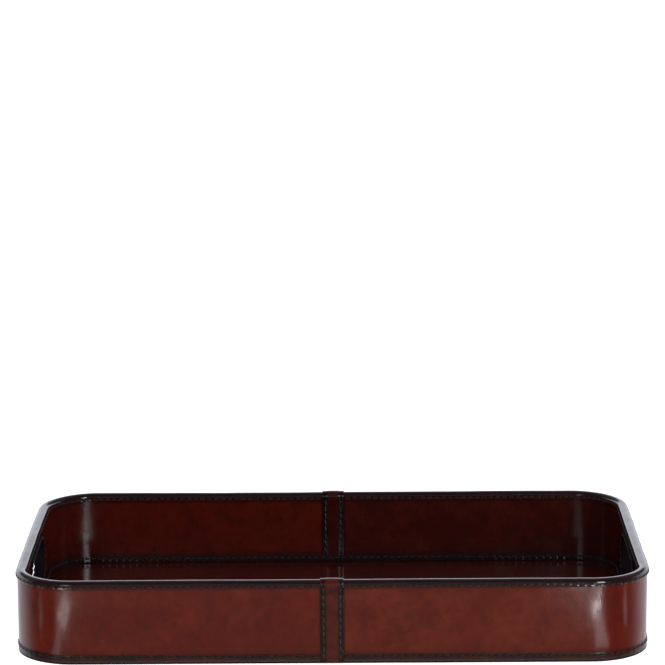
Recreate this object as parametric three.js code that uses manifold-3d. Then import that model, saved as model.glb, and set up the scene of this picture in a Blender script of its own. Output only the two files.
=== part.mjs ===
// A leather serving tray with a hand hole in each short end: a board and a bent hoop, covered in leather
// that is bound, strapped and stitched along every edge. Millimetres, +Z up, origin on the table under
// the middle of the tray.
import * as THREE from "three";
import { mergeVertices } from "three/addons/utils/BufferGeometryUtils.js";
import Module from "manifold-3d";

// Overall size, over the outer wall panels and the rim
const trayLength = 448;
const trayDepth = 250;
const trayHeight = 60;
const cornerRadius = 42;

// Thickness of each layer
const panelLeather = 1;
const hoopBoard = 3.6;
const edgeLeather = 0.8;
const strapLeather = 1.1;
const baseLeather = 1.2;
const baseBoard = 3;
const floorLeather = 1.1;
const glueLine = 0.1;

// Strips that bind the edges
const bindingDrop = 5.6;
const bindingRound = 1.6;
const baseWeltFoot = 0.4;
const baseWeltHeight = 6.2;
const floorWeltHeight = 4.6;
const jointGap = 0.4;

// Straps over the joints in the middle of the long sides
const strapWidth = 16.5;
const strapFoot = 1;
const strapRamp = 3;
const strapSeat = 0.2;
const strapRound = 0.25;

// Hand holes in the middle of the short ends
const handLength = 90;
const handHeight = 27;
const handDrop = 13.5;
const handFlange = 5;

// Stitching
const threadThickness = 0.7;
const threadSeat = 0.1;
const rimStitchDrop = 3.9;
const baseStitchHeight = 5.3;
const floorStitchRise = 2.8;
const strapStitchInset = 2.4;
const strapStitchMargin = 1.6;
const handStitchInset = 3;
const threadEndGap = 0.5;

// Facets
const cornerSteps = 10;
const rimSteps = 3;
const saddleSteps = 4;
const handSteps = 12;

// Levels above the table
const boardFoot = baseLeather + glueLine;
const boardTop = boardFoot + baseBoard;
const floorFoot = boardTop + glueLine;
const floorTop = floorFoot + floorLeather;
const liningFoot = floorTop + glueLine;
const floorWeltTop = liningFoot + floorWeltHeight;
const baseWeltTop = baseWeltFoot + baseWeltHeight;
const bindingFoot = trayHeight - bindingDrop;
const wallTop = trayHeight - edgeLeather - glueLine;
const hoopFoot = boardTop + glueLine;
const handTop = trayHeight - handDrop;
const handFoot = handTop - handHeight;

// Insets from the outer face of the wall panels, growing towards the middle of the tray
const hoopOuter = panelLeather + glueLine;
const hoopInner = hoopOuter + hoopBoard;
const liningOuter = hoopInner + glueLine;
const liningInner = liningOuter + panelLeather;
const edgeOuterBack = -glueLine;
const edgeOuterFace = edgeOuterBack - edgeLeather;
const edgeInnerBack = liningInner + glueLine;
const edgeInnerFace = edgeInnerBack + edgeLeather;

// What the binding of a hand hole takes up on each side of the hole, and the gap that this leaves in the hoop
const handLining = edgeLeather + glueLine;
const hoopGap = handLength + 2 * handLining;

// An octagon is the section of a thread: its chamfer, as a share of its width
const octagonChamfer = 1 - Math.SQRT1_2;
const threadRound = threadThickness * octagonChamfer;

const finishes = {
  wallLeather: new THREE.MeshStandardMaterial({ color: 0x6a2a22, roughness: 0.35 }),
  liningLeather: new THREE.MeshStandardMaterial({ color: 0x561c15, roughness: 0.35 }),
  edgeLeather: new THREE.MeshStandardMaterial({ color: 0x2a1517, roughness: 0.28 }),
  strapLeather: new THREE.MeshStandardMaterial({ color: 0x612620, roughness: 0.38 }),
  floorLeather: new THREE.MeshStandardMaterial({ color: 0x4a1712, roughness: 0.25 }),
  baseLeather: new THREE.MeshStandardMaterial({ color: 0x33201b, roughness: 0.7 }),
  thread: new THREE.MeshStandardMaterial({ color: 0x2b2625, roughness: 0.55 }),
  plywood: new THREE.MeshStandardMaterial({ color: 0xb98f5f, roughness: 0.8 }),
};

const wasm = await Module();
wasm.setup();

function solidOf(geometry) {
  const bare = geometry.clone();
  bare.deleteAttribute("normal");
  bare.deleteAttribute("uv");
  const merged = mergeVertices(bare);
  return new wasm.Manifold(
    new wasm.Mesh({
      numProp: 3,
      vertProperties: merged.attributes.position.array,
      triVerts: new Uint32Array(merged.index.array),
    }),
  );
}

function geometryOf(solid) {
  const mesh = solid.getMesh();
  const geometry = new THREE.BufferGeometry();
  geometry.setAttribute("position", new THREE.BufferAttribute(mesh.vertProperties, mesh.numProp));
  geometry.setIndex(new THREE.BufferAttribute(mesh.triVerts, 1));
  geometry.computeVertexNormals();
  return geometry;
}

function piece(name, geometry, finish) {
  const mesh = new THREE.Mesh(geometry, finish);
  mesh.name = name;
  return mesh;
}

// A flat outline pulled up from low to high, with all its edges rounded by the given radius.
function slab(points, low, high, round = 0, roundSteps = 1, hole = []) {
  const shape = new THREE.Shape(points);
  if (hole.length > 0) shape.holes.push(new THREE.Path(hole));
  const geometry = new THREE.ExtrudeGeometry(shape, {
    depth: high - low - 2 * round,
    bevelEnabled: round > 0,
    bevelThickness: round,
    bevelSize: round,
    bevelOffset: -round,
    bevelSegments: roundSteps,
  });
  return geometry.translate(0, 0, low + round);
}

// Half of the tray's rounded plan, on the +X side, from the front joint round to the back joint.
function halfOutline(length, depth, inset, gap) {
  const x = length / 2 - inset;
  const y = depth / 2 - inset;
  const radius = cornerRadius - inset;
  const path = new THREE.Path();
  path.moveTo(gap / 2, -y);
  path.lineTo(x - radius, -y);
  path.absarc(x - radius, radius - y, radius, -Math.PI / 2, 0);
  path.absarc(x - radius, y - radius, radius, 0, Math.PI / 2);
  path.lineTo(gap / 2, y);
  return path.getPoints(cornerSteps / 2);
}

// A wall that follows half of the plan, between two insets.
function halfWall({ outer, inner, low, high, gap, round, roundSteps, length, depth }) {
  const l = length ?? trayLength;
  const d = depth ?? trayDepth;
  const outline = [...halfOutline(l, d, outer, gap), ...halfOutline(l, d, inner, gap).reverse()];
  return slab(outline, low, high, round, roundSteps);
}

// A sheet that fills the whole plan at one inset.
function sheet(inset, low, high) {
  const x = trayLength / 2 - inset;
  const y = trayDepth / 2 - inset;
  const radius = cornerRadius - inset;
  const path = new THREE.Path();
  path.absarc(x - radius, y - radius, radius, 0, Math.PI / 2);
  path.absarc(radius - x, y - radius, radius, Math.PI / 2, Math.PI);
  path.absarc(radius - x, radius - y, radius, Math.PI, 1.5 * Math.PI);
  path.absarc(x - radius, radius - y, radius, 1.5 * Math.PI, 2 * Math.PI);
  return slab(path.getPoints(cornerSteps / 2), low, high);
}

// A channel folded over the top of the wall, with its two upper edges rounded.
function rimBinding() {
  const length = 2 * trayLength;
  const blank = halfWall({
    outer: edgeOuterFace,
    inner: edgeInnerFace,
    low: bindingFoot - 2 * bindingRound,
    high: trayHeight,
    gap: jointGap,
    round: bindingRound,
    roundSteps: rimSteps,
  });
  const wallSlot = halfWall({
    outer: edgeOuterBack,
    inner: edgeInnerBack,
    low: 0,
    high: trayHeight - edgeLeather,
    gap: -jointGap,
  });
  const below = new THREE.BoxGeometry(length, length, bindingFoot).translate(0, 0, bindingFoot / 2);
  return geometryOf(solidOf(blank).subtract(solidOf(wallSlot)).subtract(solidOf(below)));
}

// One row of stitching laid along half of the plan, on a face that looks out (+1) or in (-1).
function threadRow(face, looks, height, gap) {
  const near = face - looks * threadSeat;
  const far = near - looks * threadThickness;
  return halfWall({
    outer: Math.min(near, far),
    inner: Math.max(near, far),
    low: height - threadThickness / 2,
    high: height + threadThickness / 2,
    gap,
    round: threadRound,
  });
}

// Turns a profile so that its X runs along the tray's depth, its Y up and its thickness along the length.
function stoodUp(geometry) {
  const profileToTray = new THREE.Matrix4().makeBasis(
    new THREE.Vector3(0, 1, 0),
    new THREE.Vector3(0, 0, 1),
    new THREE.Vector3(1, 0, 0),
  );
  return geometry.applyMatrix4(profileToTray);
}

// The outline of the hand hole, grown by a margin.
function handOutline(margin) {
  const middle = (handTop + handFoot) / 2;
  const reach = (handLength - handHeight) / 2;
  const radius = handHeight / 2 + margin;
  const path = new THREE.Path();
  path.absarc(reach, middle, radius, -Math.PI / 2, Math.PI / 2);
  path.absarc(-reach, middle, radius, Math.PI / 2, 1.5 * Math.PI);
  return path.getPoints(handSteps / 2);
}

// A ring round the hand hole at the +X end, between two insets of the wall and two margins of the hole.
function handRing(outer, inner, near, far, round = 0) {
  const face = trayLength / 2;
  return stoodUp(slab(handOutline(far), face - inner, face - outer, round, 1, handOutline(near)));
}

// A panel of the wall with the hand hole, and room for its binding, cut out of it.
function withHandHole(panel) {
  const face = trayLength / 2;
  const plug = stoodUp(slab(handOutline(handLining), face - edgeInnerFace, face - edgeOuterFace));
  return geometryOf(solidOf(panel).subtract(solidOf(plug)));
}

// A channel folded over the edge of the hand hole, all the way round.
function handBinding() {
  const blank = handRing(edgeOuterFace, edgeInnerFace, 0, handFlange);
  const wallSlot = handRing(edgeOuterBack, edgeInnerBack, edgeLeather, 2 * handFlange);
  return geometryOf(solidOf(blank).subtract(solidOf(wallSlot)));
}

// The stitching round the hand hole, on a face that looks out (+1) or in (-1).
function handThread(face, looks) {
  const near = face - looks * threadSeat;
  const far = near - looks * threadThickness;
  const margin = handStitchInset - threadThickness / 2;
  return handRing(Math.min(near, far), Math.max(near, far), margin, margin + threadThickness, threadRound);
}

// A straight strip of the hoop above or below the hand hole.
function handRail(low, high) {
  const rail = new THREE.BoxGeometry(hoopBoard, hoopGap - 2 * jointGap, high - low);
  return rail.translate(trayLength / 2 - (hoopOuter + hoopInner) / 2, 0, (low + high) / 2);
}

// Where a strap lies, as distances from the middle of the tray and heights, up the outside first.
const strapFaces = {
  welt: trayDepth / 2 - edgeOuterFace,
  panel: trayDepth / 2,
  rimOut: trayDepth / 2 - edgeOuterFace,
  rimIn: trayDepth / 2 - edgeInnerFace,
  lining: trayDepth / 2 - liningInner,
};
const rimShoulder = trayHeight - bindingRound;
const strapEnd = floorWeltTop + strapSeat;

function outsideLeg(lift, from, to) {
  return [
    new THREE.Vector2(strapFaces.welt + lift, from),
    new THREE.Vector2(strapFaces.welt + lift, baseWeltTop),
    new THREE.Vector2(strapFaces.panel + lift, baseWeltTop + strapRamp),
    new THREE.Vector2(strapFaces.panel + lift, bindingFoot - strapRamp),
    new THREE.Vector2(strapFaces.rimOut + lift, bindingFoot),
    new THREE.Vector2(strapFaces.rimOut + lift, to),
  ];
}

function insideLeg(lift, from, to) {
  return [
    new THREE.Vector2(strapFaces.rimIn - lift, from),
    new THREE.Vector2(strapFaces.rimIn - lift, bindingFoot),
    new THREE.Vector2(strapFaces.lining - lift, bindingFoot - strapRamp),
    new THREE.Vector2(strapFaces.lining - lift, to),
  ];
}

function overRim(lift) {
  const radius = bindingRound + lift;
  const path = new THREE.Path();
  path.absarc(strapFaces.rimOut - bindingRound, rimShoulder, radius, 0, Math.PI / 2);
  path.absarc(strapFaces.rimIn + bindingRound, rimShoulder, radius, Math.PI / 2, Math.PI);
  return path.getPoints(saddleSteps / 2);
}

// A ribbon between two lines of one profile, as wide as given, centred at a place along the tray.
function ribbon(line, width, centre, round) {
  return stoodUp(slab([...line.near, ...line.far.reverse()], centre - width / 2, centre + width / 2, round));
}

function jointStrap() {
  const trace = (lift) => [
    ...outsideLeg(lift, strapFoot, rimShoulder).slice(0, -1),
    ...overRim(lift),
    ...insideLeg(lift, rimShoulder, strapEnd).slice(1),
  ];
  const line = { near: trace(strapSeat), far: trace(strapSeat + strapLeather) };
  return ribbon(line, strapWidth, 0, strapRound);
}

function strapThread(leg, from, to, along) {
  const near = strapSeat + strapLeather + threadSeat;
  const line = { near: leg(near, from, to), far: leg(near + threadThickness, from, to) };
  return ribbon(line, threadThickness, along, threadRound);
}

function baseAssembly() {
  const group = new THREE.Group();
  group.add(
    piece("base_leather", sheet(0, 0, baseLeather), finishes.baseLeather),
    piece("base_board", sheet(hoopOuter, boardFoot, boardTop), finishes.plywood),
    piece("floor_leather", sheet(liningOuter, floorFoot, floorTop), finishes.floorLeather),
  );
  return group;
}

// The two hoops end at the hand holes, where a rail above and a rail below each hole joins them.
function hoopHalf(side) {
  const group = new THREE.Group();
  const hoop = halfWall({
    outer: hoopOuter,
    inner: hoopInner,
    low: hoopFoot,
    high: wallTop,
    gap: hoopGap,
    length: trayDepth,
    depth: trayLength,
  });
  group.add(piece(`wall_hoop_${side}`, hoop, finishes.plywood));
  return group;
}

function endRails(side) {
  const group = new THREE.Group();
  group.add(
    piece(`upper_rail_${side}`, handRail(handTop + handLining, wallTop), finishes.plywood),
    piece(`lower_rail_${side}`, handRail(hoopFoot, handFoot - handLining), finishes.plywood),
  );
  return group;
}

// Everything that covers one half of the wall, modelled on the +X side.
function wallHalf(side) {
  const strapGap = strapWidth + 2 * threadEndGap;
  const outerPanel = { outer: 0, inner: panelLeather, low: boardFoot, high: wallTop };
  const innerPanel = { outer: liningOuter, inner: liningInner, low: liningFoot, high: wallTop };
  const baseWelt = { outer: edgeOuterFace, inner: edgeOuterBack, low: baseWeltFoot, high: baseWeltTop };
  const floorWelt = { outer: edgeInnerBack, inner: edgeInnerFace, low: liningFoot, high: floorWeltTop };
  const rimStitch = trayHeight - rimStitchDrop;
  const floorStitch = liningFoot + floorStitchRise;
  const gap = jointGap;
  const group = new THREE.Group();
  group.add(
    piece(`outer_panel_${side}`, withHandHole(halfWall({ ...outerPanel, gap })), finishes.wallLeather),
    piece(`inner_panel_${side}`, withHandHole(halfWall({ ...innerPanel, gap })), finishes.liningLeather),
    piece(`rim_binding_${side}`, rimBinding(), finishes.edgeLeather),
    piece(`base_welt_${side}`, halfWall({ ...baseWelt, gap }), finishes.edgeLeather),
    piece(`floor_welt_${side}`, halfWall({ ...floorWelt, gap }), finishes.edgeLeather),
    piece(`hand_binding_${side}`, handBinding(), finishes.edgeLeather),
    piece(`rim_thread_outer_${side}`, threadRow(edgeOuterFace, 1, rimStitch, strapGap), finishes.thread),
    piece(`rim_thread_inner_${side}`, threadRow(edgeInnerFace, -1, rimStitch, strapGap), finishes.thread),
    piece(`base_thread_${side}`, threadRow(edgeOuterFace, 1, baseStitchHeight, strapGap), finishes.thread),
    piece(`floor_thread_${side}`, threadRow(edgeInnerFace, -1, floorStitch, gap), finishes.thread),
    piece(`hand_thread_outer_${side}`, handThread(edgeOuterFace, 1), finishes.thread),
    piece(`hand_thread_inner_${side}`, handThread(edgeInnerFace, -1), finishes.thread),
  );
  return group;
}

// One strap with its four rows of stitching, modelled on the +Y side.
function strapAssembly(side, plusX, minusX) {
  const along = strapWidth / 2 - strapStitchInset;
  const outside = [outsideLeg, strapFoot + strapStitchMargin, rimShoulder - strapStitchMargin];
  const inside = [insideLeg, rimShoulder - strapStitchMargin, strapEnd + strapStitchMargin];
  const group = new THREE.Group();
  group.add(piece(`joint_strap_${side}`, jointStrap(), finishes.strapLeather));
  for (const [hand, place] of [[plusX, along], [minusX, -along]]) {
    const name = `strap_thread_${side}`;
    group.add(
      piece(`${name}_outer_${hand}`, strapThread(...outside, place), finishes.thread),
      piece(`${name}_inner_${hand}`, strapThread(...inside, place), finishes.thread),
    );
  }
  return group;
}

function turned(group, angle) {
  group.rotation.z = angle;
  return group;
}

const tray = new THREE.Group();
tray.add(
  baseAssembly(),
  turned(hoopHalf("back"), Math.PI / 2),
  turned(hoopHalf("front"), -Math.PI / 2),
  endRails("right"),
  turned(endRails("left"), Math.PI),
  wallHalf("right"),
  turned(wallHalf("left"), Math.PI),
  strapAssembly("back", "right", "left"),
  turned(strapAssembly("front", "left", "right"), Math.PI),
);

export default tray;
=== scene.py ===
"""Dresses the frame of a leather serving tray and sets it up for a studio picture.

The wall leather, bindings, welts, straps, floor and every stitch are modelled round the frame, and
given procedural finishes. Metres, +Z up, +X along the tray, origin under its middle.
"""
import math
import random

import bmesh
import bpy
from bpy.props import FloatProperty, FloatVectorProperty, PointerProperty
from mathutils import Matrix, Vector, noise


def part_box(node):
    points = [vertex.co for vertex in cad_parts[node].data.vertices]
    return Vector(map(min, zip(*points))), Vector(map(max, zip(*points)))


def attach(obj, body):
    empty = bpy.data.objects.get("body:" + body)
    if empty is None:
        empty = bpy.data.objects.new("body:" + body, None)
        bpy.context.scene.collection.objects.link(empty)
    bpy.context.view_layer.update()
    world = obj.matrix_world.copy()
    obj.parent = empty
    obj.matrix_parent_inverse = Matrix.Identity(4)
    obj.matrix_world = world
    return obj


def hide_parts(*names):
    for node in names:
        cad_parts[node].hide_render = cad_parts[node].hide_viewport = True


bl_info = {
    "name": "Leather serving tray",
    "version": (1, 0, 0),
    "blender": (4, 5, 0),
    "location": "3D View > Sidebar > Tray",
    "description": "Leather, stitching and studio of a serving tray, made round its frame",
    "category": "Object",
}

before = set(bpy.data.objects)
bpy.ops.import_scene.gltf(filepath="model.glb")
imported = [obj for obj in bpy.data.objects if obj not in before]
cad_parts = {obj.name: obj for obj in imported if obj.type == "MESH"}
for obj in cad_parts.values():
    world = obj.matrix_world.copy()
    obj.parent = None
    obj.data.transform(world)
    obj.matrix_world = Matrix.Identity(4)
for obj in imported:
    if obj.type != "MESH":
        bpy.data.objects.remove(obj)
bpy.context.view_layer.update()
panel_low, panel_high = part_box("outer_panel_right")
lining_low, lining_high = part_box("inner_panel_right")
binding_low, binding_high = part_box("rim_binding_right")
base_welt_low, base_welt_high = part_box("base_welt_right")
floor_welt_low, floor_welt_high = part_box("floor_welt_right")
strap_low, strap_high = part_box("joint_strap_back")
hand_low, hand_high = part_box("hand_binding_right")
sole_low, sole_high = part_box("base_leather")
floor_low, floor_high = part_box("floor_leather")

# Cuts along a binding or welt from one awl hole to the next.
steps_per_stitch = 6


def size(name, description, default):
    return FloatProperty(name=name, description=description, default=default, unit="LENGTH", precision=4)


def angle(name, description, degrees):
    turn = math.radians(degrees)
    return FloatProperty(name=name, description=description, default=turn, subtype="ANGLE")


def tint(name, description, colour):
    return FloatVectorProperty(
        name=name, description=description, default=colour, subtype="COLOR", size=3, min=0.0, max=1.0
    )


def level(name, description, default):
    return FloatProperty(name=name, description=description, default=default, min=0.0)


class TraySizes(bpy.types.PropertyGroup):
    """Sizes of the leather and its stitching."""

    half_length: size("Half length", "Middle of the tray to the outer wall at a short end", panel_high.x)
    half_depth: size("Half depth", "Middle of the tray to the outer wall at a long side", panel_high.y)
    corner_radius: size("Corner radius", "Radius of the outer wall at the corners", 0.042)
    panel_leather: size("Panel leather", "Thickness of the wall leather", 0.001)
    edge_leather: size("Edge leather", "Thickness of the bindings and the welts", 0.0008)
    joint_gap: size("Joint gap", "Gap between the two halves, under the straps", 2 * panel_low.x)
    rim_round: size("Rim rounding", "Radius of the upper edges of the rim binding", 0.0030)
    rim_crown: size("Rim crown", "Rise of the rim binding from its edges to its middle", 0.0001)
    strip_round: size("Strip rounding", "Radius of the cut edges of the bindings and welts", 0.0003)
    strap_width: size("Strap width", "Width of the straps over the joints", strap_high.x - strap_low.x)
    strap_leather: size("Strap leather", "Thickness of the straps", 0.0008)
    strap_seat: size("Strap seat", "Gap between a strap and the leather under it", 0.0001)
    strap_ramp: size("Strap ramp", "Height in which a strap climbs over a strip's edge", 0.003)
    strap_bend: size("Strap bend", "Radius of a strap's bends over the rim", 0.0030)
    hand_flange: size("Hand flange", "Width of the binding round a hand hole", 0.005)
    hand_row: size("Hand row", "Edge of a hand hole to its ring of stitches", 0.003)
    hand_round: size("Hand rounding", "Radius of the edges of a hand hole", 0.0016)
    welt_paring: size("Welt paring", "How much thinner the welt round the foot is pared", 0.0005)
    sole_reach: size("Sole reach", "How far the underside leather stands out from the wall", 0.0004)
    strap_row: size("Strap row", "Edge of a strap to its row of stitches", 0.0024)
    strap_margin: size("Strap margin", "End of a strap's leg to its first hole", 0.0016)
    stitch_pitch: size("Stitch pitch", "Distance from one awl hole to the next", 0.0053)
    thread: size("Thread", "Thickness of the thread", 0.0009)
    rim_row: size("Rim row", "Top of the rim to its rows of stitches", 0.0039)
    base_row: size("Base row", "Table to the row of stitches round the foot", 0.0053)
    floor_row: size("Floor row", "Foot of the floor welt to its row of stitches", 0.0028)
    row_margin: size("Row margin", "Edge of a strap to the rows of stitches beside it", 0.0005)
    stitch_slant: angle("Stitch slant", "Lean of each stitch off its row", 6.0)
    pucker: size("Pucker", "Depth that the thread pulls the leather in at each hole", 0.00024)
    hand_wave: size("Hand wave", "Slow waviness of the hand-made edges", 0.00035)
    hand_ripple: size("Hand ripple", "Short waviness of the hand-made edges", 0.00012)


class TrayColours(bpy.types.PropertyGroup):
    """Colours of the leather, thread and core."""

    wall_red: tint("Wall red", "Main colour of the outer wall leather", (0.090, 0.0078, 0.0034))
    wall_warm: tint("Wall warm", "Warm clouds in the outer wall leather", (0.124, 0.0165, 0.0060))
    wall_shade: tint("Wall shade", "Darker clouds in the outer wall leather", (0.046, 0.0058, 0.0040))
    lining_red: tint("Lining red", "Main colour of the wall lining", (0.062, 0.0048, 0.0022))
    lining_warm: tint("Lining warm", "Warm clouds in the wall lining", (0.074, 0.0068, 0.0026))
    lining_shade: tint("Lining shade", "Darker clouds in the wall lining", (0.020, 0.0026, 0.0018))
    floor_red: tint("Floor red", "Main colour of the floor leather", (0.026, 0.0026, 0.0021))
    floor_warm: tint("Floor warm", "Warm clouds in the floor leather", (0.034, 0.0032, 0.0020))
    floor_shade: tint("Floor shade", "Darker clouds in the floor leather", (0.017, 0.0024, 0.0020))
    strap_red: tint("Strap red", "Main colour of the straps", (0.064, 0.0074, 0.0054))
    strap_warm: tint("Strap warm", "Warm clouds in the straps", (0.080, 0.0095, 0.0055))
    strap_shade: tint("Strap shade", "Darker clouds in the straps", (0.018, 0.0024, 0.0018))
    edge_dark: tint("Edge dark", "Main colour of the bindings and welts", (0.0120, 0.0055, 0.0068))
    edge_worn: tint("Edge worn", "Worn places on the bindings and welts", (0.0200, 0.0060, 0.0070))
    edge_red: tint("Edge red", "Red that shows at the foot of the rim binding", (0.056, 0.0075, 0.0050))
    foot_brown: tint("Foot brown", "Main colour of the welt round the foot", (0.045, 0.0105, 0.0078))
    # Painted highlight: the light line along the lower edge of the foot welt and along the outer edges of
    # the straps.
    painted_highlight: tint("Foot light", "Rubbed edge of the welt round the foot", (0.050, 0.033, 0.030))
    # Black dye along cut edges and beside the straps; it is also painted shade in the awl holes and at the
    # inner ends of the lining, and the painted contact shadow under the underside leather.
    edge_dye_and_shade: tint("Edge dye", "Black dye along cut edges and in the holes", (0.0040, 0.0026, 0.0030))
    base_brown: tint("Base brown", "Main colour of the underside leather", (0.008, 0.0045, 0.0038))
    base_light: tint("Base light", "Lighter fibres of the underside leather", (0.013, 0.0075, 0.0060))
    thread_grey: tint("Thread grey", "Light side of the waxed thread", (0.085, 0.062, 0.056))
    # Painted shade in the grooves between the thread's strands; the same dark also makes its smears and
    # dirt.
    thread_dark: tint("Thread dark", "Grooves between the thread's strands", (0.014, 0.0100, 0.0090))
    plywood: tint("Plywood", "Face of the hidden plywood", (0.46, 0.29, 0.14))
    plywood_grain: tint("Plywood grain", "Grain lines of the hidden plywood", (0.30, 0.17, 0.075))


class TrayStudio(bpy.types.PropertyGroup):
    """The camera, the lamps and the table."""

    focal_length: FloatProperty(
        name="Focal length", description="Lens on a 36 mm sensor", default=168.32, unit="CAMERA"
    )
    distance: size("Distance", "Camera to the middle of the tray", 2.305)
    elevation: angle("Elevation", "Height of the camera above the tray's middle", 15.993)
    pitch: angle("Pitch", "How far the camera looks down", 11.576)
    swing: angle("Swing", "How far the camera stands to the right", 0.30)
    pan: angle("Pan", "How far the camera looks to the left of the tray's middle", -0.028)
    roll: angle("Roll", "How far the camera is tilted about its own axis", -0.417)
    left_box: level("Left soft box", "Brightness of the soft box at the front left", 3.3)
    right_box: level("Right soft box", "Brightness of the soft box at the front right", 7.4)
    side_box: level("Side soft box", "Brightness of the soft box at the right", 5.5)
    top_box: level("Top soft box", "Brightness of the soft box overhead", 1.5)
    left_shine: level("Left shine", "Brightness of the left soft box in gloss", 2.2)
    right_shine: level("Right shine", "Brightness of the right soft box in gloss", 10.0)
    left_glow: level("Left glow", "Brightness of the left soft box mirrored in the table", 3.8)
    right_glow: level("Right glow", "Brightness of the right soft box mirrored in the table", 23.0)
    side_glow: level("Side glow", "Brightness of the narrow lights mirrored beside the tray", 1.6)
    inner_glow: level("Inner glow", "Brightness of the lights close to the inner corners", 0.105)
    fill: level("Fill", "Brightness of the room", 0.78)
    backdrop: tint("Backdrop", "Colour of the lit backdrop behind the tray", (0.79, 0.815, 0.895))
    room: tint("Room", "Colour of the dim room in front of the tray", (1.0, 0.96, 0.85))
    table: tint("Table", "Colour of the table", (0.80, 0.80, 0.80))
    table_lift: level("Table lift", "Light that is added to the table in the picture", 0.75)


class WallLine:
    """The plan line of the outer wall on the right-hand half, from the front joint to the back one."""

    def __init__(self, sizes):
        self.radius = sizes.corner_radius
        self.run = sizes.half_length - self.radius
        self.end = sizes.half_depth - self.radius
        self.arc = self.radius * math.pi / 2
        self.length = 2 * (self.run + self.arc + self.end)

    def spot(self, distance, lift):
        """The place at a distance along the line, lifted off the wall, and the way out of the wall."""
        walk = min(distance, self.length - distance)
        if walk < self.run:
            base, out = Vector((walk, -self.end, 0)), Vector((0, -1, 0))
        elif walk < self.run + self.arc:
            turn = (walk - self.run) / self.radius
            base, out = Vector((self.run, -self.end, 0)), Vector((math.sin(turn), -math.cos(turn), 0))
        else:
            base = Vector((self.run, walk - self.run - self.arc - self.end, 0))
            out = Vector((1, 0, 0))
        place = base + out * (self.radius + lift)
        if distance > self.length / 2:
            place.y, out.y = -place.y, -out.y
        return place, out

    def distance(self, place):
        """How far along the line a place on or near the wall lies."""
        x, y = place.x, -abs(place.y)
        if x < self.run:
            walk = x
        elif y > -self.end:
            walk = self.run + self.arc + y + self.end
        else:
            walk = self.run + self.radius * math.atan2(x - self.run, -self.end - y)
        return walk if place.y < 0 else self.length - walk


class StitchRow:
    """One row of stitches along the wall, with its holes evenly spaced between two straps."""

    def __init__(self, line, sizes, height, margin):
        self.line = line
        self.height = height
        self.start = margin
        self.count = round((line.length - 2 * margin) / sizes.stitch_pitch)
        self.pitch = (line.length - 2 * margin) / self.count

    def along(self, place):
        """How many stitches along the row a place lies."""
        return (self.line.distance(place) - self.start) / self.pitch

    def above(self, place):
        """How many stitch lengths above the row a place lies."""
        return (place.z - self.height) / self.pitch

    def hole(self, number, lift):
        """The place of a hole and the outward direction there."""
        place, out = self.line.spot(self.start + number * self.pitch, lift)
        place.z = self.height
        return place, out


class HandRow:
    """The ring of stitches round the right-hand hand hole, counted from the middle of its top."""

    def __init__(self, sizes):
        self.end = sizes.half_length
        self.margin = sizes.hand_row
        self.middle = (hand_low.z + hand_high.z) / 2
        self.hole_radius = (hand_high.z - hand_low.z) / 2 - sizes.hand_flange
        self.reach = hand_high.y - sizes.hand_flange - self.hole_radius
        self.radius = self.hole_radius + self.margin
        half_way = 2 * self.reach + math.pi * self.radius
        half_count = round(half_way / sizes.stitch_pitch)
        self.count = 2 * half_count
        self.pitch = half_way / half_count

    def beyond(self, place):
        """How far outside the edge of the hole a place lies."""
        past_straight = max(abs(place.y) - self.reach, 0.0)
        return math.hypot(past_straight, place.z - self.middle) - self.hole_radius

    def along(self, place):
        """How many stitches from the middle of the top a place lies, on either side."""
        across, rise = abs(place.y), place.z - self.middle
        if across > self.reach:
            walk = self.reach + self.radius * math.atan2(across - self.reach, rise)
        elif rise > 0:
            walk = across
        else:
            walk = 2 * self.reach + math.pi * self.radius - across
        return walk / self.pitch

    def above(self, place):
        """How many stitch lengths outside the row a place lies."""
        return (self.beyond(place) - self.margin) / self.pitch

    def hole(self, number, lift):
        """The place of a hole and the outward direction there."""
        walk = min(number, self.count - number) * self.pitch
        turn = min(max((walk - self.reach) / self.radius, 0.0), math.pi)
        straight = min(walk, self.reach) - max(walk - self.reach - math.pi * self.radius, 0.0)
        across = straight + self.radius * math.sin(turn)
        side = 1 if 2 * number <= self.count else -1
        rise = self.radius * math.cos(turn)
        return Vector((self.end + lift, side * across, self.middle + rise)), Vector((1, 0, 0))


def strap_gap(sizes):
    return sizes.strap_width / 2 + sizes.row_margin


def rim_row(line, sizes):
    return StitchRow(line, sizes, binding_high.z - sizes.rim_row, strap_gap(sizes))


def base_row(line, sizes):
    return StitchRow(line, sizes, sizes.base_row, strap_gap(sizes))


def floor_row(line, sizes):
    return StitchRow(line, sizes, floor_welt_low.z + sizes.floor_row, sizes.joint_gap / 2)


def outer_lift(high, sizes):
    """How far a node's outer face stands off the outer wall leather."""
    return high.x - sizes.half_length


def of_type(geometry, kind):
    return [item for item in geometry if isinstance(item, kind)]


def new_object(bm, name):
    """Makes an object of a mesh in the scene."""
    mesh = bpy.data.meshes.new(name)
    bm.to_mesh(mesh)
    bm.free()
    thing = bpy.data.objects.new(name, mesh)
    bpy.context.scene.collection.objects.link(thing)
    return thing


def turn_whole(bm, axis, turn):
    """Turns a whole mesh about an axis through the origin."""
    bmesh.ops.rotate(bm, verts=bm.verts, cent=(0, 0, 0), matrix=Matrix.Rotation(turn, 3, axis))


def mark(bm, name, spot):
    """A UV map that works out each corner's spot from the place of its vertex."""
    layer = bm.loops.layers.uv.new(name)
    for face in bm.faces:
        for loop in face.loops:
            loop[layer].uv = spot(loop.vert.co)


def pull(bm, edges, step):
    """Extrudes edges by a step and gives the new edges at the far end."""
    new = bmesh.ops.extrude_edge_only(bm, edges=edges)["geom"]
    verts = of_type(new, bmesh.types.BMVert)
    bmesh.ops.translate(bm, verts=verts, vec=step)
    ends = set(verts)
    return [edge for edge in of_type(new, bmesh.types.BMEdge) if ends.issuperset(edge.verts)]


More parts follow.
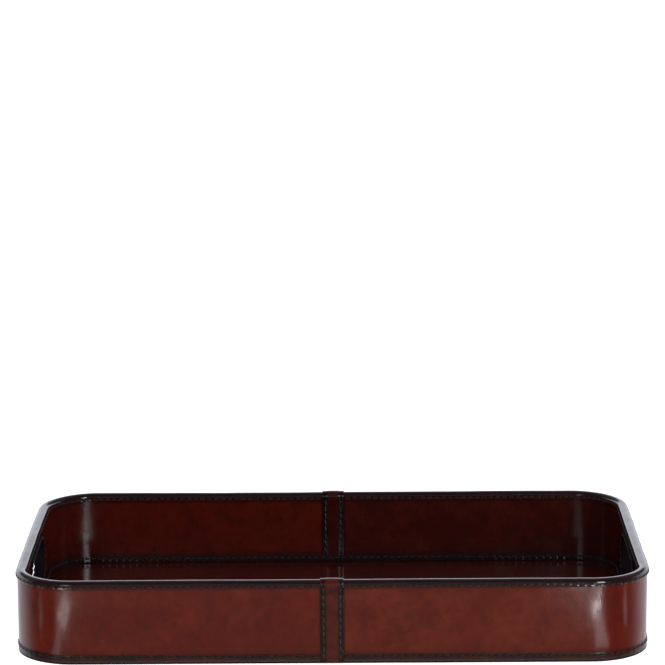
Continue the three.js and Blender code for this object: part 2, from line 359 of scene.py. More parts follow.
def swing(bm, edges, centre, axis, turn, steps):
    """Spins edges about an axis and gives the new edges at the far end."""
    last = bmesh.ops.spin(bm, geom=edges, cent=centre, axis=axis, angle=turn, steps=steps)["geom_last"]
    return of_type(last, bmesh.types.BMEdge)


def close_ends(bm, *loops):
    for loop in loops:
        bmesh.ops.contextual_create(bm, geom=loop)
    bmesh.ops.recalc_face_normals(bm, faces=bm.faces)


def section(bm, places):
    """A closed loop through a few places."""
    verts = [bm.verts.new(place) for place in places]
    return [bm.edges.new(pair) for pair in zip(verts, verts[1:] + verts[:1])]


def wall_sweep(places, sizes, corner_steps):
    """Pulls a section of (lift, height) places round the right-hand half of the wall."""
    line = WallLine(sizes)
    joint = sizes.joint_gap / 2
    bm = bmesh.new()
    start = section(bm, [(joint, -sizes.half_depth - lift, height) for lift, height in places])
    edges = pull(bm, start, (line.run - joint, 0, 0))
    edges = swing(bm, edges, (line.run, -line.end, 0), (0, 0, 1), math.pi / 2, corner_steps)
    edges = pull(bm, edges, (0, 2 * line.end, 0))
    edges = swing(bm, edges, (line.run, line.end, 0), (0, 0, 1), math.pi / 2, corner_steps)
    edges = pull(bm, edges, (joint - line.run, 0, 0))
    close_ends(bm, start, edges)
    return bm


def sharp_runs(bm, height):
    """The sharp edges that run along the wall at one height."""
    tight, square = 1e-5, math.radians(50)
    return [
        edge
        for edge in bm.edges
        if all(abs(vert.co.z - height) < tight for vert in edge.verts)
        and edge.calc_face_angle(0) > square
        and all(len(face.verts) == 4 for face in edge.link_faces)
    ]


def round_off(bm, edges, radius, segments):
    bmesh.ops.bevel(
        bm, geom=edges, offset=radius, segments=segments, profile=0.5, affect="EDGES", material=-1
    )


def divide_runs(bm, step, longest=0.012):
    """Cuts the long runs of a mesh into short lengths."""
    runs = {}
    for edge in bm.edges:
        length = edge.calc_length()
        if length > longest:
            runs.setdefault(round(length / step) - 1, []).append(edge)
    for cuts, edges in runs.items():
        bmesh.ops.subdivide_edges(bm, edges=edges, cuts=cuts, use_grid_fill=True)


def pull_in_holes(bm, row, sizes, foot):
    """Dimples the leather at each hole of a row, scallops the cut edge beside it, and maps the holes."""
    hole_width, hole_height, edge_height, scallop = 0.13, 0.22, 0.0005, 0.5
    bm.normal_update()
    for vert in bm.verts:
        along = row.along(vert.co)
        across = (along - round(along)) / hole_width
        above = row.above(vert.co) / hole_height
        depth = sizes.pucker * math.exp(-across * across - above * above)
        near_edge = vert.co.z < foot + edge_height
        vert.co -= vert.normal * depth
        if near_edge:
            vert.co.z += scallop * sizes.pucker * math.cos(2 * math.pi * along)
    mark(bm, "stitch_rows", lambda place: (row.along(place), row.above(place)))


def hand_made(bm, sizes):
    """Moves every piece by the same slow waves, so nothing is quite straight and all still meets."""
    slow, short, settle, seed = 9.0, 34.0, 0.02, 4055
    noise.seed_set(seed)
    for vert in bm.verts:
        wave = noise.noise_vector(vert.co * slow) * sizes.hand_wave
        wave += noise.noise_vector(vert.co * short) * sizes.hand_ripple
        wave.z *= min(1.0, vert.co.z / settle)
        vert.co += wave


def lay_piece(bm, turn, sizes, name, material, slot, node):
    """Turns a mesh to its side of the tray and makes it an object that stands for a node."""
    crease = math.radians(45)
    turn_whole(bm, "Z", turn)
    hand_made(bm, sizes)
    piece = new_object(bm, name)
    piece.data.shade_smooth()
    piece.data.set_sharp_from_angle(angle=crease)
    piece.data.materials.append(material)
    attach(piece, "root")
    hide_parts(node)


def both_halves(make, name, node, material, slot, sizes):
    """Makes a piece on the right-hand half of the tray, and the same piece turned to the left."""
    for side, turn in (("right", 0.0), ("left", math.pi)):
        lay_piece(make(side), turn, sizes, f"{name}_{side}", material, slot, f"{node}_{side}")


def hand_plug(sizes):
    """A round-ended bar through the right-hand end, as large as the hand hole and its lining."""
    sides, depth, off_middle = 64, 0.03, 1e-6
    row = HandRow(sizes)
    radius = row.hole_radius + sizes.edge_leather
    bm = bmesh.new()
    bmesh.ops.create_circle(bm, cap_ends=True, segments=sides, radius=radius)
    turn_whole(bm, "Y", math.pi / 2)
    for side in (1, -1):
        end = [vert for vert in bm.verts if side * vert.co.y > off_middle]
        bmesh.ops.translate(bm, verts=end, vec=(0, side * row.reach, 0))
    bmesh.ops.translate(bm, verts=bm.verts, vec=(row.end - depth / 2, 0, row.middle))
    far = bmesh.ops.extrude_face_region(bm, geom=bm.faces)["geom"]
    bmesh.ops.translate(bm, verts=of_type(far, bmesh.types.BMVert), vec=(depth, 0, 0))
    bmesh.ops.recalc_face_normals(bm, faces=bm.faces)
    return bm


def with_hand_hole(bm, sizes):
    """The same panel with the hand hole cut out of it."""
    panel, plug = new_object(bm, "uncut_panel"), new_object(hand_plug(sizes), "hand_plug")
    cut = panel.modifiers.new("hand_hole", "BOOLEAN")
    cut.operation, cut.solver, cut.object = "DIFFERENCE", "EXACT", plug
    evaluated = panel.evaluated_get(bpy.context.evaluated_depsgraph_get())
    result = bpy.data.meshes.new_from_object(evaluated)
    bm = bmesh.new()
    bm.from_mesh(result)
    for mesh in (result, panel.data, plug.data):
        bpy.data.meshes.remove(mesh)
    return bm


def wall_panel(outer, inner, foot, top, sizes):
    """A leather panel of the wall between two lifts, with rows of faces up its height."""
    rows, corner_steps, step = 12, 30, 0.004
    heights = [foot + (top - foot) * row / rows for row in range(rows + 1)]
    places = [(outer, height) for height in heights] + [(inner, height) for height in reversed(heights)]
    bm = wall_sweep(places, sizes, corner_steps)
    divide_runs(bm, step)
    return with_hand_hole(bm, sizes)


def stitched_strip(places, rounded, row, foot, sizes):
    """A binding or welt: a swept section with rounded edges, dimpled along its row of stitches."""
    step = sizes.stitch_pitch / steps_per_stitch
    corner_steps = round(row.line.arc / step)
    bm = wall_sweep(places, sizes, corner_steps)
    for height, radius, segments in rounded:
        round_off(bm, sharp_runs(bm, height), radius, segments)
    divide_runs(bm, step)
    pull_in_holes(bm, row, sizes, foot)
    return bm


def rim_binding(sizes):
    """A channel of thin leather folded over the top of the wall."""
    top, foot = binding_high.z, binding_low.z
    out = outer_lift(binding_high, sizes)
    inner = outer_lift(floor_welt_high, sizes) - sizes.edge_leather
    thick = sizes.edge_leather
    bend = sizes.rim_round / 2
    waist = top - sizes.rim_row
    shoulder = top - sizes.rim_crown
    crown = [(out + (inner - out) * share, top) for share in (0.45, 0.55)]
    outside = [(out, foot), (out, waist), (out, shoulder)]
    inside = [(inner, shoulder), (inner, waist), (inner, foot)]
    channel = [
        (inner + thick, foot),
        (inner + thick, top - bend),
        (inner + bend, top - thick),
        (out - bend, top - thick),
        (out - thick, top - bend),
        (out - thick, foot),
    ]
    rounded = [(shoulder, sizes.rim_round, 8), (foot, sizes.strip_round, 2)]
    row = rim_row(WallLine(sizes), sizes)
    return stitched_strip(outside + crown + inside + channel, rounded, row, foot, sizes)


def flat_strip(face, back, foot, top, row, sizes):
    """A flat strip between two lifts, rounded at its upper edges."""
    middle = row.height
    places = [(face, foot), (face, middle), (face, top), (back, top), (back, middle), (back, foot)]
    return stitched_strip(places, [(top, sizes.strip_round, 2)], row, foot, sizes)


def base_welt(sizes):
    out = outer_lift(base_welt_high, sizes)
    row = base_row(WallLine(sizes), sizes)
    face, back = out - sizes.welt_paring, out - sizes.edge_leather
    return flat_strip(face, back, sole_high.z, base_welt_high.z, row, sizes)


def floor_welt(sizes):
    back = outer_lift(floor_welt_high, sizes)
    row = floor_row(WallLine(sizes), sizes)
    return flat_strip(back - sizes.edge_leather, back, floor_high.z, floor_welt_high.z, row, sizes)


def hand_binding(sizes):
    """A channel of thin leather folded over the edge of the hand hole, all the way round."""
    row = HandRow(sizes)
    out, inner = outer_lift(hand_high, sizes), outer_lift(hand_low, sizes)
    thick, flange, stitch = sizes.edge_leather, sizes.hand_flange, sizes.hand_row
    outside = [(out, flange), (out, stitch), (out, 0.0)]
    inside = [(inner, 0.0), (inner, stitch), (inner, flange)]
    far, near = inner + thick, out - thick
    channel = outside + inside + [(far, flange), (far, thick), (near, thick), (near, flange)]
    top = row.middle + row.hole_radius
    step = sizes.stitch_pitch / steps_per_stitch
    turn_steps = round(math.pi * row.radius / step)
    bm = bmesh.new()
    start = section(bm, [(row.end + lift, 0, top + margin) for lift, margin in channel])
    edges = pull(bm, start, (0, row.reach, 0))
    edges = swing(bm, edges, (0, row.reach, row.middle), (1, 0, 0), -math.pi, turn_steps)
    edges = pull(bm, edges, (0, -2 * row.reach, 0))
    edges = swing(bm, edges, (0, -row.reach, row.middle), (1, 0, 0), -math.pi, turn_steps)
    pull(bm, edges, (0, row.reach, 0))
    bmesh.ops.remove_doubles(bm, verts=bm.verts, dist=1e-6)
    bmesh.ops.recalc_face_normals(bm, faces=bm.faces)
    for margin, radius, segments in ((0.0, sizes.hand_round, 4), (flange, sizes.strip_round, 2)):
        for lift in (out, inner):
            round_off(bm, hand_runs(bm, row, lift, margin), radius, segments)
    divide_runs(bm, step)
    pull_in_holes(bm, row, sizes, 0.0)
    return bm


def hand_runs(bm, row, lift, margin):
    """The edges that run round the hand hole at one lift and one margin."""
    tight = 1e-5
    return [
        edge
        for edge in bm.edges
        if all(abs(vert.co.x - row.end - lift) < tight for vert in edge.verts)
        and all(abs(row.beyond(vert.co) - margin) < tight for vert in edge.verts)
    ]


def rounded_sheet(lift, foot, top, sizes, edge_round):
    """A flat sheet with the tray's rounded plan, cut into a grid so that it can wave."""
    corner_steps, cell = 28, 0.012
    length, depth = sizes.half_length + lift, sizes.half_depth + lift
    radius = sizes.corner_radius + lift
    bm = bmesh.new()
    bmesh.ops.create_grid(bm, x_segments=1, y_segments=1, size=1.0)
    bmesh.ops.scale(bm, verts=bm.verts, vec=(length, depth, 1))
    bmesh.ops.bevel(
        bm,
        geom=bm.verts,
        offset=radius,
        segments=corner_steps,
        profile=0.5,
        affect="VERTICES",
        material=-1,
    )
    for normal, reach in (((1, 0, 0), length), ((0, 1, 0), depth)):
        cuts = round(2 * reach / cell)
        for cut in range(1, cuts):
            place = Vector(normal) * (reach * (2 * cut / cuts - 1))
            whole = [*bm.verts, *bm.edges, *bm.faces]
            bmesh.ops.bisect_plane(bm, geom=whole, plane_co=place, plane_no=normal)
    bmesh.ops.translate(bm, verts=bm.verts, vec=(0, 0, top))
    skin = bmesh.ops.extrude_face_region(bm, geom=bm.faces)["geom"]
    bmesh.ops.translate(bm, verts=of_type(skin, bmesh.types.BMVert), vec=(0, 0, foot - top))
    bmesh.ops.recalc_face_normals(bm, faces=bm.faces)
    rim = [edge for edge in bm.edges if edge.calc_face_angle(0) > math.radians(60)]
    round_off(bm, rim, edge_round, 2)
    return bm


class StrapLine:
    """The line of a strap's underside on the front wall, as distances from the tray's middle."""

    def __init__(self, sizes):
        self.sizes = sizes
        self.foot = strap_low.z
        self.welt_top = base_welt_high.z
        self.binding_foot = binding_low.z
        self.shoulder = binding_high.z - sizes.strap_bend
        self.end = floor_welt_high.z + sizes.strap_seat
        self.panel = sizes.half_depth
        self.rim_out = sizes.half_depth + outer_lift(binding_high, sizes)
        self.rim_in = sizes.half_depth + outer_lift(floor_welt_high, sizes) - sizes.edge_leather
        self.lining = sizes.half_depth + outer_lift(lining_high, sizes) - sizes.panel_leather

    def outside(self):
        """(distance, height) places up the outside, from the foot to the shoulder of the rim."""
        ramp = self.sizes.strap_ramp
        return [
            (self.rim_out, self.foot),
            (self.rim_out, self.welt_top),
            (self.panel, self.welt_top + ramp),
            (self.panel, self.binding_foot - ramp),
            (self.rim_out, self.binding_foot),
            (self.rim_out, self.shoulder),
        ]

    def inside(self):
        """(distance, height) places down the inside, from the shoulder of the rim to the floor welt."""
        ramp = self.sizes.strap_ramp
        return [
            (self.rim_in, self.shoulder),
            (self.rim_in, self.binding_foot),
            (self.lining, self.binding_foot - ramp),
            (self.lining, self.end),
        ]


def leg_distance(leg, height):
    """The distance of a leg from the tray's middle at a height."""
    for (near, low), (far, high) in zip(leg, leg[1:]):
        if min(low, high) <= height <= max(low, high):
            return near + (far - near) * (height - low) / (high - low)
    raise ValueError(f"no part of the leg is {height} m high")


class StrapRow:
    """The stitches along one leg of the front strap, counted from the leg's lower end."""

    def __init__(self, leg, side, sizes, across=0.0):
        low, high = sorted((leg[0][1], leg[-1][1]))
        self.leg = leg
        self.side = side
        self.across = across
        self.start = low + sizes.strap_margin
        span = high - sizes.strap_margin - self.start
        self.count = round(span / sizes.stitch_pitch)
        self.pitch = span / self.count
        self.face = side * (sizes.strap_seat + sizes.strap_leather)

    def hole(self, number, lift):
        """The place of a hole, and the direction that faces away from the leather."""
        height = self.start + number * self.pitch
        distance = leg_distance(self.leg, height) + self.face + self.side * lift
        return Vector((self.across, -distance, height)), Vector((0, -self.side, 0))


def strap_reach(sizes):
    """Middle of a strap to its rows of stitches."""
    return sizes.strap_width / 2 - sizes.strap_row


def strap_section(sizes):
    """Half of a strap's section as (across, thickness) places: crowned, and pinched at its row."""
    half, row, thick = sizes.strap_width / 2, strap_reach(sizes), sizes.strap_leather
    crown, swell, pinch, lip, chamfer = 0.00012, 0.0001, 0.00022, 0.00004, 0.00012
    furrow, edge = 0.001, 0.0004
    return [
        (0.0, thick + crown),
        (row / 2, thick + swell),
        (row - furrow, thick),
        (row, thick - pinch),
        (row + furrow, thick - lip),
        (half - edge, thick - chamfer),
        (half, thick / 2),
        (half - edge / 2, 0.0),
    ]


def climb(bm, edges, leg):
    """Pulls edges along a strap's leg and gives the new edges at its far end."""
    for (near, low), (far, high) in zip(leg, leg[1:]):
        edges = pull(bm, edges, (0, near - far, high - low))
    return edges


def joint_strap(sizes):
    """The front strap: its section pulled up the wall, over the rim and down to the floor welt."""
    saddle_steps, step, longest = 6, 0.0025, 0.0045
    line = StrapLine(sizes)
    half = strap_section(sizes)
    outline = half + [(-across, thick) for across, thick in reversed(half[1:])]
    distance, height = line.outside()[0]
    seat = distance + sizes.strap_seat
    radius, quarter = sizes.strap_bend, -math.pi / 2
    outer_axis = (0, radius - line.rim_out, line.shoulder)
    inner_axis = (0, -radius - line.rim_in, line.shoulder)
    bm = bmesh.new()
    start = section(bm, [(across, -seat - thick, height) for across, thick in outline])
    edges = climb(bm, start, line.outside())
    edges = swing(bm, edges, outer_axis, (1, 0, 0), quarter, saddle_steps)
    edges = pull(bm, edges, (0, line.rim_out - line.rim_in - 2 * radius, 0))
    edges = swing(bm, edges, inner_axis, (1, 0, 0), quarter, saddle_steps)
    edges = climb(bm, edges, line.inside())
    close_ends(bm, start, edges)
    divide_runs(bm, step, longest)
    mark_strap_rows(bm, line, sizes)
    return bm


def mark_strap_rows(bm, line, sizes):
    """A UV map counted in stitches along the two legs, with none over the top of the rim."""
    outer = StrapRow(line.outside(), 1, sizes)
    inner = StrapRow(line.inside(), -1, sizes)
    middle = (line.rim_out + line.rim_in) / 2
    between_holes = 0.5

    def spot(place):
        row = outer if -place.y > middle else inner
        along = (place.z - row.start) / row.pitch
        across = (abs(place.x) - strap_reach(sizes)) / row.pitch
        return (along if place.z < line.shoulder else between_holes, across)

    mark(bm, "stitch_rows", spot)


def stitch_pattern(sizes):
    """One stitch along X: a short thread that bends down into a hole at each end."""
    sides, radius = 6, sizes.thread / 2
    half = sizes.stitch_pitch / 2
    bends = [(-0.86, -0.9), (-0.66, 0.25), (-0.25, 0.65), (0.25, 0.65), (0.66, 0.25), (0.86, -0.9)]
    places = [Vector((half * along, 0, radius * rise)) for along, rise in bends]
    bm = bmesh.new()
    bmesh.ops.create_circle(bm, segments=sides, radius=radius)
    turn_whole(bm, "Y", math.pi / 2)
    bmesh.ops.translate(bm, verts=bm.verts, vec=places[0])
    start = list(bm.edges)
    edges = start
    for near, far in zip(places, places[1:]):
        edges = pull(bm, edges, far - near)
    close_ends(bm, start, edges)
    mark(bm, "twist", lambda place: (place.x / sizes.thread, math.atan2(place.y, place.z) / math.pi))
    mesh = bpy.data.meshes.new("stitch")
    bm.to_mesh(mesh)
    bm.free()
    return mesh


def sew(bm, pattern, start, end, out, sizes, chance):
    """Adds one stitch between two holes, on the side of the leather that faces out."""
    first = len(bm.verts)
    bm.from_mesh(pattern)
    bm.verts.ensure_lookup_table()
    along = (end - start).normalized()
    across = out.cross(along).normalized()
    rise = along.cross(across)
    turn = Matrix((along, across, rise)).transposed().to_4x4()
    lean = sizes.stitch_slant * chance.uniform(-0.2, 2.2)
    stretch = (end - start).length / sizes.stitch_pitch * chance.uniform(0.9, 1.0)
    fullness = chance.uniform(0.75, 1.2)
    shape = Matrix.Rotation(lean, 4, "Z") @ Matrix.Diagonal((stretch, 1, fullness, 1))
    place = Matrix.Translation((start + end) / 2) @ turn @ shape
    bmesh.ops.transform(bm, matrix=place, verts=bm.verts[first:])


def stitches(row, lift, looks, pattern, sizes, seed):
    """All the stitches of one row, on a face that looks out or in."""
    chance = random.Random(seed)
    bm = bmesh.new()
    for number in range(row.count):
        start, out = row.hole(number, lift)
        end, far_out = row.hole(number + 1, lift)
        sew(bm, pattern, start, end, (out + far_out) * looks, sizes, chance)
    return bm


class Nodes:
    """The nodes of a material or a world, with short ways to add, set and link them."""

    def __init__(self, owner, empty=False):
        owner.use_nodes = True
        self.tree = owner.node_tree
        if empty:
            self.tree.nodes.clear()

    def add(self, kind, links=(), **settings):
        """Adds a node with its settings, and links or sets its inputs by index or name."""
        node = self.tree.nodes.new(kind)
        for name, value in settings.items():
            setattr(node, name, value)
        for key, value in dict(links).items():
            self.feed(node.inputs[key], value)
        return node

    def feed(self, socket, value):
        """Links a socket to another one, or sets it to a number, a vector or a colour."""
        if isinstance(value, bpy.types.NodeSocket):
            self.tree.links.new(value, socket)
        elif socket.type == "RGBA":
            socket.default_value = (*value, 1)
        else:
            socket.default_value = value

    def fade(self, value, none, full, low=0.0, high=1.0):
        """A smooth step from low to high as a value goes from none to full."""
        links = {"Value": value, "From Min": none, "From Max": full, "To Min": low, "To Max": high}
        return self.add("ShaderNodeMapRange", links, interpolation_type="SMOOTHSTEP").outputs["Result"]

    def maths(self, operation, first, second=0.0):
        return self.add("ShaderNodeMath", {0: first, 1: second}, operation=operation).outputs[0]

    def axes(self, vector):
        return self.add("ShaderNodeSeparateXYZ", {0: vector}).outputs

    def picture_rays(self):
        """1 for rays that show the background: from the camera, in gloss and through glass."""
        paths = self.add("ShaderNodeLightPath").outputs
        share = paths["Is Camera Ray"]
        for ray in ("Is Glossy Ray", "Is Transmission Ray"):
            share = self.maths("MAXIMUM", share, paths[ray])
        return share


class Finish(Nodes):
    """A procedural material, with the steps that the finishes share."""

    def __init__(self, name):
        self.material = bpy.data.materials.new(name)
        super().__init__(self.material)
        self.shader = self.tree.nodes["Principled BSDF"]
        self.coords = self.add("ShaderNodeTexCoord").outputs["Object"]

    def set(self, **values):
        """Sets or links the shader's own sockets, named with underscores for spaces."""
        for name, value in values.items():
            self.feed(self.shader.inputs[name.replace("_", " ")], value)

    def clouds(self, scale, detail=3.0, rough=0.5, coords=None):
        links = {"Vector": coords or self.coords, "Scale": scale, "Detail": detail, "Roughness": rough}
        return self.add("ShaderNodeTexNoise", links).outputs["Fac"]

    def cells(self, scale):
        return self.add("ShaderNodeTexVoronoi", {"Vector": self.coords, "Scale": scale}).outputs["Distance"]

    def mix(self, share, first, second):
        return self.add("ShaderNodeMix", {0: share, 6: first, 7: second}, data_type="RGBA").outputs[2]

    def bump(self, height, strength, distance, normal=None):
        links = {"Height": height, "Strength": strength, "Distance": distance}
        if normal:
            links["Normal"] = normal
        return self.add("ShaderNodeBump", links).outputs["Normal"]

    def holes(self):
        """Dark spots at the whole numbers of the stitch map: painted shade in the awl holes."""
        hole_edge, hole_middle = 0.22, 0.1
        along, above, _ = self.axes(self.add("ShaderNodeUVMap", uv_map="stitch_rows").outputs["UV"])
        to_hole = self.maths("PINGPONG", along, 0.5)
        squares = self.maths("ADD", self.maths("POWER", to_hole, 2.0), self.maths("POWER", above, 2.0))
        return self.fade(self.maths("SQRT", squares), hole_edge, hole_middle)


def leather(name, tones, overlays, rough=(0.14, 0.2), gloss=0.5, grain=0.15, coat=(0.0, 0.03)):
    """Waxed leather: cloudy colour with overlays of dye, painted shade and painted highlights, fine grain,
    small creases and a coat of wax.
    """
    main, warm, shade = tones
    coat_weight, coat_rough = coat
    finish = Finish(name)
    broad = finish.fade(finish.clouds(18.0, 4.0, 0.62), 0.4, 0.66, 0.0, 0.85)
    patches = finish.fade(finish.clouds(60.0, 5.0, 0.65), 0.46, 0.74, 0.0, 0.6)
    mottle = finish.fade(finish.clouds(190.0, 4.0, 0.65), 0.42, 0.75, 0.0, 0.44)
    colour = finish.mix(broad, main, warm)
    colour = finish.mix(patches, colour, shade)
    colour = finish.mix(mottle, colour, shade)
    smear = finish.clouds(120.0, 4.0, 0.6)
    for dye, amount, overlay_colour in overlays:
        uneven = finish.fade(smear, 0.2, 0.7, 0.75 * amount, amount)
        colour = finish.mix(finish.maths("MULTIPLY", dye(finish), uneven), colour, overlay_colour)
    pores = finish.fade(finish.cells(1050.0), 0.1, 0.55)
    creases = finish.clouds(620.0, 4.0, 0.65)
    dents = finish.clouds(55.0, 2.0, 0.5)
    normal = finish.bump(dents, 0.25, 0.0012)
    normal = finish.bump(creases, 0.3 * grain, 0.0002, normal)
    normal = finish.bump(pores, grain, 0.00012, normal)
    polish = finish.fade(finish.clouds(75.0, 4.0, 0.6), 0.3, 0.75, *rough)
    finish.set(Base_Color=colour, Roughness=polish, Normal=normal, Specular_IOR_Level=gloss, IOR=1.5)
    finish.set(Coat_Weight=coat_weight, Coat_Roughness=coat_rough)
    return finish.material


def height_mask(clean, dark):
    """A mask that grows from one height to another, for dye, painted shade and painted highlights alike."""
    return lambda finish: finish.fade(finish.axes(finish.coords)[2], clean, dark)


def reach_mask(axis, clean, dark):
    """A mask that grows with the distance from the middle of the tray along one axis."""
    return lambda finish: finish.fade(
        finish.maths("ABSOLUTE", finish.axes(finish.coords)[axis]), clean, dark
    )


def side_mask(clean, dark):
    return reach_mask(0, clean, dark)


def inside_mask(clean, dark):
    return reach_mask(1, clean, dark)


def both_masks(first, second):
    """A mask only where two masks meet."""
    return lambda finish: finish.maths("MULTIPLY", first(finish), second(finish))


def right_half_darkening(finish):
    """A cloudy darkening of the right-hand half of the tray: the lining's right half is cut from another
    hide; the floor is one sheet and is only darker there.
    """
    seam = 0.001
    half = finish.fade(finish.axes(finish.coords)[0], -seam, seam)
    cloudy = finish.fade(finish.clouds(80.0, 4.0, 0.65), 0.36, 0.66, 0.55, 1.0)
    return finish.maths("MULTIPLY", half, cloudy)


def wall_finish(colours):
    tones = colours.wall_red, colours.wall_warm, colours.wall_shade
    overlays = [
        (height_mask(binding_low.z - 0.003, binding_low.z + 0.001), 0.6, colours.edge_red),
        (height_mask(base_welt_high.z + 0.004, base_welt_high.z), 0.6, colours.foot_brown),
        (side_mask(strap_high.x + 0.0016, strap_high.x), 0.6, colours.edge_dye_and_shade),
    ]
    return leather("wall_leather", tones, overlays, gloss=0.45, grain=0.25, coat=(0.2, 0.12))


def lining_finish(colours):
    dye = colours.edge_dye_and_shade
    tones = colours.lining_red, colours.lining_warm, colours.lining_shade
    overlays = [
        (right_half_darkening, 0.85, colours.lining_shade),
        # Painted shade: the lining darkens towards its ends, in the inner corners of the tray.
        (side_mask(0.165, 0.205), 0.4, dye),
        (height_mask(binding_low.z - 0.003, binding_low.z), 0.7, dye),
        (height_mask(floor_welt_high.z + 0.006, floor_welt_high.z), 0.6, dye),
        (side_mask(strap_high.x + 0.0020, strap_high.x), 0.6, dye),
    ]
    return leather("lining_leather", tones, overlays, gloss=0.45, coat=(0.2, 0.1))


def floor_finish(colours):
    tones = colours.floor_red, colours.floor_warm, colours.floor_shade
    overlays = [(right_half_darkening, 0.6, colours.floor_shade)]
    return leather("floor_leather", tones, overlays, (0.09, 0.15), 0.25, 0.06, (0.15, 0.08))


def edge_finish(colours, sizes):
    """Near-black leather with worn places, and red under the rim's row of stitches."""
    row = binding_high.z - sizes.rim_row
    tones = colours.edge_dark, colours.edge_worn, colours.edge_dark
    below_row = height_mask(row + 0.0008, row - 0.001)
    on_binding = height_mask(binding_low.z - 0.001, binding_low.z)
    overlays = [
        (both_masks(below_row, on_binding), 0.9, colours.edge_red),
        (Finish.holes, 0.9, colours.edge_dye_and_shade),
    ]
    return leather("edge_leather", tones, overlays, (0.07, 0.14), 0.5, 0.06, (0.3, 0.05))


def hand_finish(colours):
    """The binding of the hand holes, nearly black and dull."""
    tones = colours.edge_dye_and_shade, colours.edge_dark, colours.edge_dye_and_shade
    return leather("hand_leather", tones, [(Finish.holes, 0.9, colours.edge_dye_and_shade)], (0.7, 0.85), 0.05, 0.3)


def foot_finish(colours):
    tones = colours.foot_brown, colours.edge_worn, colours.edge_dark
    overlays = [
        # Painted highlight: the foot welt turns light along its lowest millimetre, standing for the table's
        # reflection on its lower edge.
        (height_mask(sole_high.z + 0.0018, sole_high.z + 0.0010), 0.8, colours.painted_highlight),
        (Finish.holes, 0.9, colours.edge_dye_and_shade),
    ]
    return leather("foot_leather", tones, overlays, (0.2, 0.32), 0.4, 0.25, (0.15, 0.12))


def strap_finish(colours, sizes):
    """Leather with dyed edges, painted shade on its inside leg, and a painted highlight along its outer
    edges on the outside of the tray.
    """
    row, face, edge = strap_reach(sizes), sizes.half_depth, strap_high.x
    tones = colours.strap_red, colours.strap_warm, colours.strap_shade
    # Painted highlight: a light line along the strap's outermost edges, on the outside of the tray.
    painted_edge_highlight = both_masks(side_mask(edge - 0.0006, edge - 0.0001), inside_mask(face - 0.003, face))
    overlays = [
        # Painted shade: the strap, one piece of leather, is darker on its inside leg within the tray.
        (inside_mask(face, face - 0.003), 0.85, colours.strap_shade),
        (side_mask(row - 0.0030, row - 0.0004), 0.9, colours.edge_dye_and_shade),
        (Finish.holes, 0.9, colours.edge_dye_and_shade),
        (painted_edge_highlight, 0.35, colours.painted_highlight),
    ]
    return leather("strap_leather", tones, overlays, coat=(0.2, 0.12))


def base_finish(colours):
    tones = colours.base_brown, colours.base_light, colours.base_brown
    # Painted shadow: the underside leather turns near black towards the table, as the contact shadow under
    # the tray.
    overlays = [(height_mask(sole_high.z - 0.0004, sole_low.z + 0.0003), 0.8, colours.edge_dye_and_shade)]
    return leather("base_leather", tones, overlays, (0.5, 0.7), 0.15, 0.6)


def thread_finish(name, colours, dirt):
    """Waxed thread, with the twist of its strands, painted shade in the grooves between them and some dirt
    of the dye.
    """
    strands_per_turn = 2.2
    finish = Finish(name)
    along, around, _ = finish.axes(finish.add("ShaderNodeUVMap", uv_map="twist").outputs["UV"])
    phase = finish.maths("ADD", finish.maths("MULTIPLY", along, strands_per_turn), around)
    strand = finish.maths("PINGPONG", phase, 0.5)
    smear = finish.fade(finish.clouds(190.0), 0.38, 0.66, 0.0, 0.8)
    # Painted shade: the grooves between the strands are darker.
    colour = finish.mix(finish.fade(strand, 0.02, 0.3), colours.thread_dark, colours.thread_grey)
    colour = finish.mix(smear, colour, colours.thread_dark)
    colour = finish.mix(dirt, colour, colours.thread_dark)
    finish.set(Base_Color=colour, Normal=finish.bump(strand, 0.5, 0.0002))
    finish.set(Roughness=0.6, Specular_IOR_Level=0.3)
    return finish.material


def plywood_finish(colours):
    """Plain plywood with a fine straight grain along the tray."""
    finish = Finish("plywood")
    stretched = finish.add("ShaderNodeMapping", {0: finish.coords, 3: (6.0, 160.0, 160.0)}).outputs[0]
    grain = finish.fade(finish.clouds(1.0, 6.0, 0.65, stretched), 0.4, 0.7)
    finish.set(Base_Color=finish.mix(grain, colours.plywood, colours.plywood_grain))
    finish.set(Roughness=finish.fade(grain, 0.0, 1.0, 0.6, 0.8), Normal=finish.bump(grain, 0.3, 0.0003))
    return finish.material


class TRAY_OT_wall_leather(bpy.types.Operator):
    """Cover the hoop with outer panels and lining panels"""

    bl_idname = "tray.wall_leather"
    bl_label = "Wall leather"

    def execute(self, context):
        sizes, colours = context.scene.tray_sizes, context.scene.tray_colours
        thick, back = sizes.panel_leather, outer_lift(lining_high, sizes)
        top = panel_high.z - sizes.rim_round / 2
        outside, inside = (0.0, -thick, panel_low.z), (back - thick, back, lining_low.z)
        panels = (
            ("wall_panel", "outer_panel", "wall_leather", outside, wall_finish(colours)),
            ("wall_lining", "inner_panel", "lining_leather", inside, lining_finish(colours)),
        )
        for name, node, slot, place, material in panels:
            both_halves(lambda side: wall_panel(*place, top, sizes), name, node, material, slot, sizes)
        return {"FINISHED"}


class TRAY_OT_edge_strips(bpy.types.Operator):
    """Fold the bindings over the rim and the hand holes, and lay the welts round the foot and the floor"""

    bl_idname = "tray.edge_strips"
    bl_label = "Bindings and welts"

    def execute(self, context):
        sizes, colours = context.scene.tray_sizes, context.scene.tray_colours
        edge = edge_finish(colours, sizes)
        strips = (
            ("rim_strip", "rim_binding", rim_binding, edge),
            ("base_strip", "base_welt", base_welt, foot_finish(colours)),
            ("floor_strip", "floor_welt", floor_welt, edge),
            ("hand_strip", "hand_binding", hand_binding, hand_finish(colours)),
        )
        for name, node, strip, material in strips:
            both_halves(lambda side: strip(sizes), name, node, material, "edge_leather", sizes)
        return {"FINISHED"}


